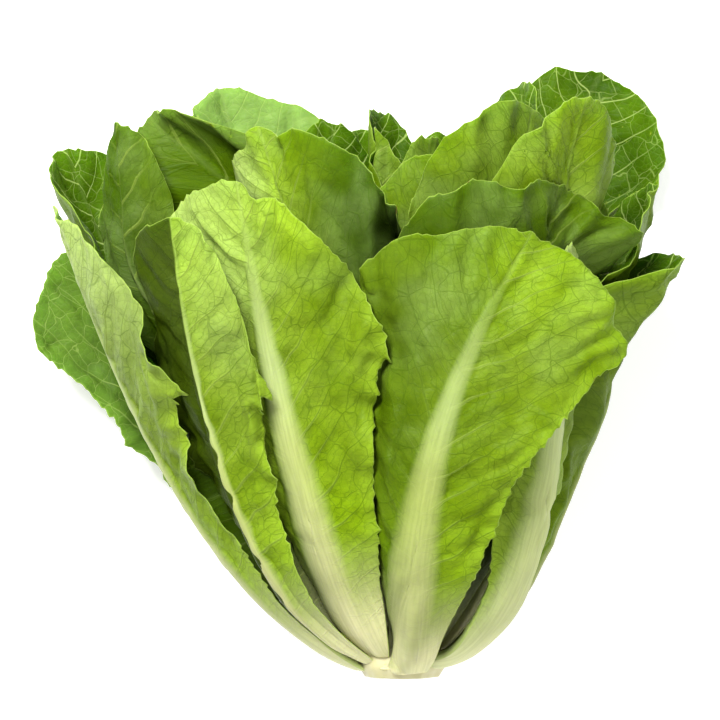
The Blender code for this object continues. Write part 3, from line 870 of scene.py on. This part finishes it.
# Painted shade, for the half of a folded leaf that the leaves beside it shadow.
PAINTED_SHADE = (0.012, 0.023, 0.0005)
VEIN_PALE = (0.30, 0.39, 0.07)
VEIN_WHITE = (0.34, 0.44, 0.12)
VEIN_DARK = (0.035, 0.075, 0.001)
RIB_PALE = (0.31, 0.375, 0.135)
RIB_GREEN = (0.33, 0.37, 0.115)
RIB_CREAM = (0.38, 0.38, 0.175)
ROOT_CREAM = (0.60, 0.57, 0.32)
# Painted light, whitening the rib of a blade that stands in full light.
RIB_PAINTED_LIGHT = (0.47, 0.53, 0.26)
MARGIN_GLOW = (0.23, 0.35, 0.02)
# A greyish green, partly a bloom on the leaf and partly painted sheen.
BLOOM_AND_SHEEN = (0.23, 0.32, 0.10)
RIM_PALE = (0.26, 0.37, 0.06)
RIM_BROWN = (0.20, 0.13, 0.04)
STEM_PALE = (0.46, 0.435, 0.225)
STEM_TAN = (0.34, 0.28, 0.13)
CUT_CREAM = (0.49, 0.455, 0.26)

MINOR_VEINS_TO_A_VEIN = 3.3


def leaf_material():
    """The blade's colours, veins and relief, from the measures that sheet_mesh stores on it."""
    s = Shader("lettuce_leaf")
    across, along, seed = s.attribute("blade_place")
    vein_number, away, _ = s.attribute("blade_veins")
    rib, to_margin, share = s.attribute("blade_parts")
    upper, tone, shade = s.attribute("blade_look")
    lower = s.rest(upper)
    # Below zero the tone is painted light: a paler blade and a whiter rib, as in full light.
    painted_light = s.math("MULTIPLY", tone, -1.0, clamp=True)
    # Inner leaves and leaves in painted shade keep less of the rib's and root's pale colour.
    not_inner_nor_shaded = s.rest(s.math("MULTIPLY", tone, 0.7, clamp=True))
    place = s.vector(across, along, seed)
    broad = s.noise(place, 0.045, 2.0)
    mottle = s.noise(place, 0.22, 4.0)
    fine = s.noise(place, 1.4, 3.0)

    # Lines: side veins, lesser ones between them and two nets, thin on the underside and bold above.
    to_vein = s.times(s.to_whole(vein_number), VEIN_SPACING)
    wander = s.times(s.math("SUBTRACT", s.noise(place, 0.12, 1.0), 0.5), 6.0)
    sideways = s.plus(s.times(across, 0.8), wander)
    net = s.cells(s.vector(sideways, s.plus(s.times(along, 0.8), wander), seed), 0.12)
    small_net = s.cells(s.vector(s.plus(sideways, seed), along, 0.0), 0.36, "2D")
    narrowing = s.ramp(away, 5.0, 55.0, 1.0, 0.35)
    lesser = s.to_whole(s.plus(s.times(vein_number, MINOR_VEINS_TO_A_VEIN), s.times(mottle, 1.6)))
    thin = s.most(
        s.times(s.ramp(s.math("DIVIDE", to_vein, narrowing), 0.15, 0.6, 1.0, 0.0), 0.8),
        s.ramp(net, 0.004, 0.026, 0.75, 0.0),
        s.ramp(small_net, 0.015, 0.07, 0.35, 0.0),
        s.times(s.ramp(lesser, 0.03, 0.10, 1.0, 0.0), s.ramp(away, 4.0, 60.0, 0.55, 0.2)),
    )
    bold = s.most(
        s.times(s.ramp(to_vein, 0.15, 0.65, 1.0, 0.0), s.ramp(away, 18.0, 48.0, 1.0, 0.25)),
        s.ramp(net, 0.005, 0.022, 0.45, 0.0),
        s.ramp(small_net, 0.01, 0.06, 0.1, 0.0),
    )

    # The underside, yellower low down, with a greyish bloom and painted sheen further up, and painted light
    # shining through its margin.
    under = s.mix(s.ramp(broad, 0.3, 0.7), UNDERSIDE_LIGHT, UNDERSIDE_DEEP)
    under = s.mix(s.ramp(share, 0.2, 0.6, 0.8, 0.0), under, LOW_YELLOW)
    # Painted light pales the blade's upper part where the tone is below zero.
    under = s.mix(s.times(painted_light, s.ramp(share, 0.55, 0.9, 0.12, 1.0)), under, UNDERSIDE_PAINTED_LIGHT)
    # The tone deepens the blade to an inner leaf's green, which is also painted shade on shaded leaves and
    # halves.
    under = s.mix(tone, under, INNER_AND_SHADED_UNDERSIDE)
    lowered = s.times(s.ramp(share, 0.3, 0.55, 1.05, 0.84), s.ramp(share, 0.72, 0.97, 1.0, 1.5))
    under = s.scaled(under, lowered)
    # Greyish patches further up: partly bloom on the leaf, partly painted sheen.
    bloom_and_sheen = s.ramp(s.noise(place, 0.035, 2.0), 0.4, 0.66, 0.0, 0.18)
    under = s.mix(s.times(bloom_and_sheen, s.ramp(share, 0.45, 0.85)), under, BLOOM_AND_SHEEN)
    # Painted light, as if shining through the thin margin, weaker on inner and shaded leaves.
    glow = s.times(s.ramp(to_margin, 1.0, 8.0, 0.4, 0.0), s.ramp(share, 0.6, 0.9, 1.0, 0.0))
    under = s.mix(s.times(glow, s.rest(tone, clamp=True)), under, MARGIN_GLOW)

    above = s.mix(s.ramp(broad, 0.3, 0.7), UPPERSIDE_LIGHT, UPPERSIDE_DEEP)
    # The upperside is bright where the tone is low and darkens as it rises: partly an inner leaf's deeper
    # green, partly painted shade.
    above = s.mix(s.ramp(tone, 0.0, 0.3, 1.0, 0.0), above, UPPERSIDE_BRIGHT)

    # Both sides with their lines: pale beside the rib and dark below, white above.
    blade = s.scaled(s.mix(upper, under, above), s.ramp(mottle, 0.3, 0.7, 0.9, 1.1))
    near_rib = s.times(s.ramp(to_vein, 0.1, 1.0, 1.0, 0.0), s.ramp(away, 3.0, 26.0, 0.45, 0.0))
    blade = s.mix(s.times(near_rib, s.ramp(across, -5.0, 5.0, 0.35, 1.1), lower), blade, VEIN_PALE)
    # The dark lines on the underside are painted shade, along the creases beside its raised veins.
    blade = s.mix(s.times(thin, lower, 0.55), blade, VEIN_DARK)
    blade = s.mix(s.times(bold, upper, s.ramp(tone, 0.0, 0.2, 0.3, 0.6)), blade, VEIN_WHITE)

    # The midrib, cream at the root and streaked along it, and whiter with painted light on lit blades. Its
    # colour covers the whole root; it is fainter on inner leaves and on leaves in painted shade, and kept
    # off the half in painted shade.
    rib_colour = s.mix(s.ramp(share, 0.08, 0.2), ROOT_CREAM, RIB_CREAM)
    rib_colour = s.mix(s.ramp(share, 0.2, 0.45), rib_colour, RIB_GREEN)
    rib_colour = s.mix(s.ramp(share, 0.45, 0.65), rib_colour, RIB_PALE)
    rib_colour = s.mix(s.times(painted_light, 0.5), rib_colour, RIB_PAINTED_LIGHT)
    streak = s.noise(s.vector(s.times(across, 0.9), s.times(along, 0.05), seed), 1.0, 2.0)
    rib_colour = s.scaled(rib_colour, s.ramp(streak, 0.3, 0.7, 0.9, 1.08))
    rib_share = s.ramp(rib, 0.02, 1.15)
    cover = s.most(
        s.times(rib_share, s.ramp(share, 0.6, 0.9, 1.0, 0.15), not_inner_nor_shaded, s.rest(shade)),
        s.times(s.ramp(share, 0.07, 0.31, 0.9, 0.0), not_inner_nor_shaded),
        s.ramp(share, 0.03, 0.07, 0.95, 0.0),
    )
    # The left half of a folded leaf is painted dark: painted shade for the shadow its neighbours cast.
    blade = s.mix(shade, s.mix(cover, blade, rib_colour), PAINTED_SHADE)

    spots = s.mix(s.ramp(s.noise(place, 0.13, 1.0), 0.70, 0.74), RIM_PALE, RIM_BROWN)
    s.surface(
        {
            "Base Color": s.mix(s.ramp(to_margin, 0.05, 0.5, 0.55, 0.0), blade, spots),
            "Roughness": s.ramp(fine, 0.2, 0.8, 0.36, 0.52),
            "IOR": 1.42,
            "Specular IOR Level": 0.05,
            "Subsurface Weight": 0.25,
            "Subsurface Radius": (0.9, 1.3, 0.25),
            "Subsurface Scale": 0.0014,
        }
    )

    # The lines stand out below and are sunk above, and the blade swells between them.
    line = s.plus(s.times(thin, lower), s.times(bold, upper))
    height = s.plus(
        s.times(line, s.math("SUBTRACT", 0.8, s.times(upper, 1.6))),
        s.times(fine, 0.4),
        s.ramp(net, 0.0, 0.24, 0.0, 0.6),
        s.ramp(small_net, 0.0, 0.25, 0.0, 0.3),
    )
    s.relief(s.times(height, s.rest(s.times(rib_share, 0.8))), 0.55)
    return s.material


def stem_material():
    s = Shader("lettuce_stem")
    place = s.node("ShaderNodeTexCoord", ()).outputs["Object"]
    broad = s.noise(place, 60.0, 3.0)
    fine = s.noise(place, 500.0, 3.0)
    ring, _, _ = s.attribute("cut_parts")
    colour = s.mix(s.ramp(broad, 0.35, 0.7), STEM_PALE, CUT_CREAM)
    s.surface(
        {
            "Base Color": s.mix(s.times(ring, s.ramp(fine, 0.3, 0.7, 0.3, 0.9)), colour, STEM_TAN),
            "Roughness": s.ramp(fine, 0.2, 0.8, 0.4, 0.6),
            "Subsurface Weight": 0.3,
            "Subsurface Radius": (1.0, 0.9, 0.5),
            "Subsurface Scale": 0.003,
        }
    )
    s.relief(fine, 0.5)
    return s.material


# ---- The stem ----

# The stem's rings of points: reaches over its cut and heights up its side.
STEM_SIDES = 144
CUT_REACHES = (0.5, 3, 6, 9, 11.5, 13.5, 15.2, 16.2)
SIDE_HEIGHTS = (0.15, 0.6, 1.4, 2.6, 4, 6, 8, 10, 12, 14, 17, 20, 30, 45, 60, STEM_HEIGHT)

# The cut: how far its middle and its ring of vessels are sunk, how rough it is, and where the ring is.
CUT_SUNK = 0.5
CUT_ROUGHNESS = 0.12
VESSEL_RING = 12.5
VESSEL_RING_COLOUR_WIDTH = 1.3

# The side: how far it draws in at the cut's edge and inside the head, and swells round the leaves' roots.
EDGE_DRAWN_IN = 0.7
COLLAR = 1.3
DRAWN_IN_ABOVE = 0.8


def stem_rings():
    """Rings of points over the stem's cut and up its side."""
    turn = np.linspace(0, 2 * math.pi, STEM_SIDES, endpoint=False)
    random = np.random.default_rng(5)
    lumps = 0.35 * np.sin(5 * turn + 0.6) + 0.3 * np.sin(9 * turn + 2.0) + 0.2 * np.sin(16 * turn)
    rings = []
    for radius in CUT_REACHES:
        sunk = CUT_SUNK * (ease(radius, 16.5, 13.0) + math.exp(-(((radius - VESSEL_RING) / 1.5) ** 2)))
        rough = noise(radius * np.cos(turn) / 2, radius * np.sin(turn) / 2 + 9, random)
        height = np.maximum(sunk + CUT_ROUGHNESS * rough, 0.05)
        rings.append(to_space(height, turn, radius + lumps * radius / STEM_CUT_RADIUS))
    for height in SIDE_HEIGHTS:
        radius = stem_radius(height) - EDGE_DRAWN_IN * math.exp(-height / 0.5)
        radius += COLLAR * ease(height, 1, 5) * ease(height, 15, 9)
        radius -= DRAWN_IN_ABOVE * ease(height, 12, 17)
        rings.append(to_space(height + 0 * turn, turn, radius + lumps * (1 - ease(height, 10, 17))))
    return np.stack(rings)


def stem_mesh(name, shift):
    """The cut butt, which swells over the leaves' roots, and the stem inside the head."""
    rings = stem_rings()
    rows, sides = rings.shape[:2]
    points = np.concatenate([rings.reshape(-1, 3), [[0, 0.9, 0], [0, STEM_HEIGHT + 1.5, 0]]])
    faces = []
    for j in range(sides):
        k = (j + 1) % sides
        faces.append((rows * sides, k, j))
        faces.append((rows * sides + 1, (rows - 1) * sides + j, (rows - 1) * sides + k))
        for i in range(rows - 1):
            faces.append((i * sides + j, i * sides + k, (i + 1) * sides + k, (i + 1) * sides + j))
    mesh = bpy.data.meshes.new(name)
    mesh.from_pydata([tuple(p) for p in (points - shift) * MM], [], faces)
    mesh.polygons.foreach_set("use_smooth", np.ones(len(faces), dtype=bool))
    height, _, reach = to_head(points)
    ring = np.exp(-(((reach - VESSEL_RING) / VESSEL_RING_COLOUR_WIDTH) ** 2)) * (height < 1.2)
    vector_attribute(mesh, "cut_parts", np.stack([ring, 0 * ring, 0 * ring], axis=-1))
    return mesh


# ---- The head ----

# How far each half of a leaf, left and right, goes from an outer leaf's light green to an inner leaf's deep
# green, which also serves as painted shade on halves that neighbours shadow or that face away from the key
# light. Below zero it goes to a paler green that is painted light, as on a blade in full light.
USUAL_TONES = (0.65, 0.65)
TONES = {
    "leaf_left": (-1.0, -0.7),
    "leaf_left_behind": (0.2, 0.2),
    "leaf_front_folded": (0.2, -0.35),
    "leaf_front_left": (-0.6, 0.1),
    "leaf_front_right": (0.65, 0.1),
    "leaf_low_right": (-1.0, -0.6),
    "leaf_right": (0.5, 0.45),
    "leaf_second_upright": (1.2, 0.8),
    "leaf_second_middle": (-0.8, 1.0),
    "leaf_second_right": (0.9, 0.85),
    "leaf_second_dark": (0.85, 0.85),
    "leaf_tall_left": (0.0, 0.0),
    "leaf_third_right": (0.3, 0.35),
    "leaf_third_inner": (0.5, 0.65),
}

# How far the left half of a folded leaf goes to a dark green that is painted shade, standing for the shadow
# that the leaves beside it cast into the fold.
LEFT_PAINTED_SHADES = {"leaf_front_folded": 0.86}


def add_object(name, data):
    made = bpy.data.objects.new(name, data)
    bpy.context.scene.collection.objects.link(made)
    return made


def add_piece(node, mesh, material):
    piece = add_object(node + "_look", mesh)
    mesh.materials.append(material)
    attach(piece, "root")
    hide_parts(node)


def add_head():
    """Adds every leaf and the stem, and returns the frame's origin in the head's coordinates."""
    low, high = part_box("stem")
    shift = -np.array([(low.x + high.x) / 2 / MM, low.y / MM, AXIS_ABOVE_TABLE])
    green = leaf_material()
    for seed, (leaf, grid) in enumerate(laid_out()):
        blade = Blade(leaf, grid, seed)
        left, right = TONES.get(leaf.name, USUAL_TONES)
        # Each half's tone: partly an inner leaf's deeper green, partly painted light and painted shade from
        # how the light falls on it.
        tone = left + (right - left) * ease(blade.u, -0.6, 0.6)
        shade = LEFT_PAINTED_SHADES.get(leaf.name, 0.0)
        mesh = sheet_mesh(leaf.name + "_look", blade, blade.faces(leaf), shift, tone, shade, seed)
        add_piece(leaf.name, mesh, green)
    add_piece("stem", stem_mesh("stem_look", shift), stem_material())
    return shift


# ---- The studio ----

# Where from the cut's centre the camera looks straight down, and its sensor's width, in millimetres.
VIEW_CENTRE = (-19.0, 144.0)
SENSOR_WIDTH = 36.0

# The view's width, the height where it is that wide, and the camera's height, in metres.
VIEW_WIDTH = 0.324
VIEW_PLANE = 0.08
CAMERA_HEIGHT = 1.68

# Each light's name, place, size and power.
LIGHTS = (
    ("key", (-0.45, 0.85, 1.25), 0.55, 52.0),
    ("fill", (0.6, -0.9, 1.35), 1.0, 18.0),
)
LIGHTS_TARGET = Vector((0, 0, 0.05))
WORLD_STRENGTH = 0.42

FLOOR_HALF = 3.0
FLOOR_DEPTH = 0.0003
FLOOR_WHITE = (0.93, 0.93, 0.93)
FLOOR_GLOW = 0.3


def add_light(name, place, size, power):
    light = bpy.data.lights.new(name, "AREA")
    light.shape = "SQUARE"
    light.size = size
    light.energy = power
    made = add_object(name, light)
    made.location = place
    made.rotation_euler = (LIGHTS_TARGET - made.location).to_track_quat("-Z", "Y").to_euler()


def add_floor():
    mesh = bpy.data.meshes.new("floor")
    corners_round = ((-1, -1), (1, -1), (1, 1), (-1, 1))
    mesh.from_pydata([(x * FLOOR_HALF, y * FLOOR_HALF, 0) for x, y in corners_round], [], [(0, 1, 2, 3)])
    floor = add_object("floor", mesh)
    floor.location.z = -FLOOR_DEPTH
    white = Shader("floor_white")
    white.surface(
        {
            "Base Color": FLOOR_WHITE,
            "Roughness": 0.9,
            "Emission Color": (1.0, 1.0, 1.0),
            "Emission Strength": FLOOR_GLOW,
        }
    )
    mesh.materials.append(white.material)


def add_studio(shift):
    add_floor()
    world = bpy.data.worlds.new("studio")
    world.use_nodes = True
    colour, strength = world.node_tree.nodes["Background"].inputs[:2]
    colour.default_value = (1, 1, 1, 1)
    strength.default_value = WORLD_STRENGTH
    bpy.context.scene.world = world
    for light in LIGHTS:
        add_light(*light)
    camera = bpy.data.cameras.new("camera")
    camera.sensor_width = SENSOR_WIDTH
    camera.lens = SENSOR_WIDTH * (CAMERA_HEIGHT - VIEW_PLANE) / VIEW_WIDTH
    made = add_object("camera", camera)
    x, y = ((VIEW_CENTRE[k] - shift[k]) * MM for k in range(2))
    made.location = (x, y, CAMERA_HEIGHT)
    bpy.context.scene.camera = made
    bpy.context.scene.view_settings.view_transform = "Standard"


add_studio(add_head())
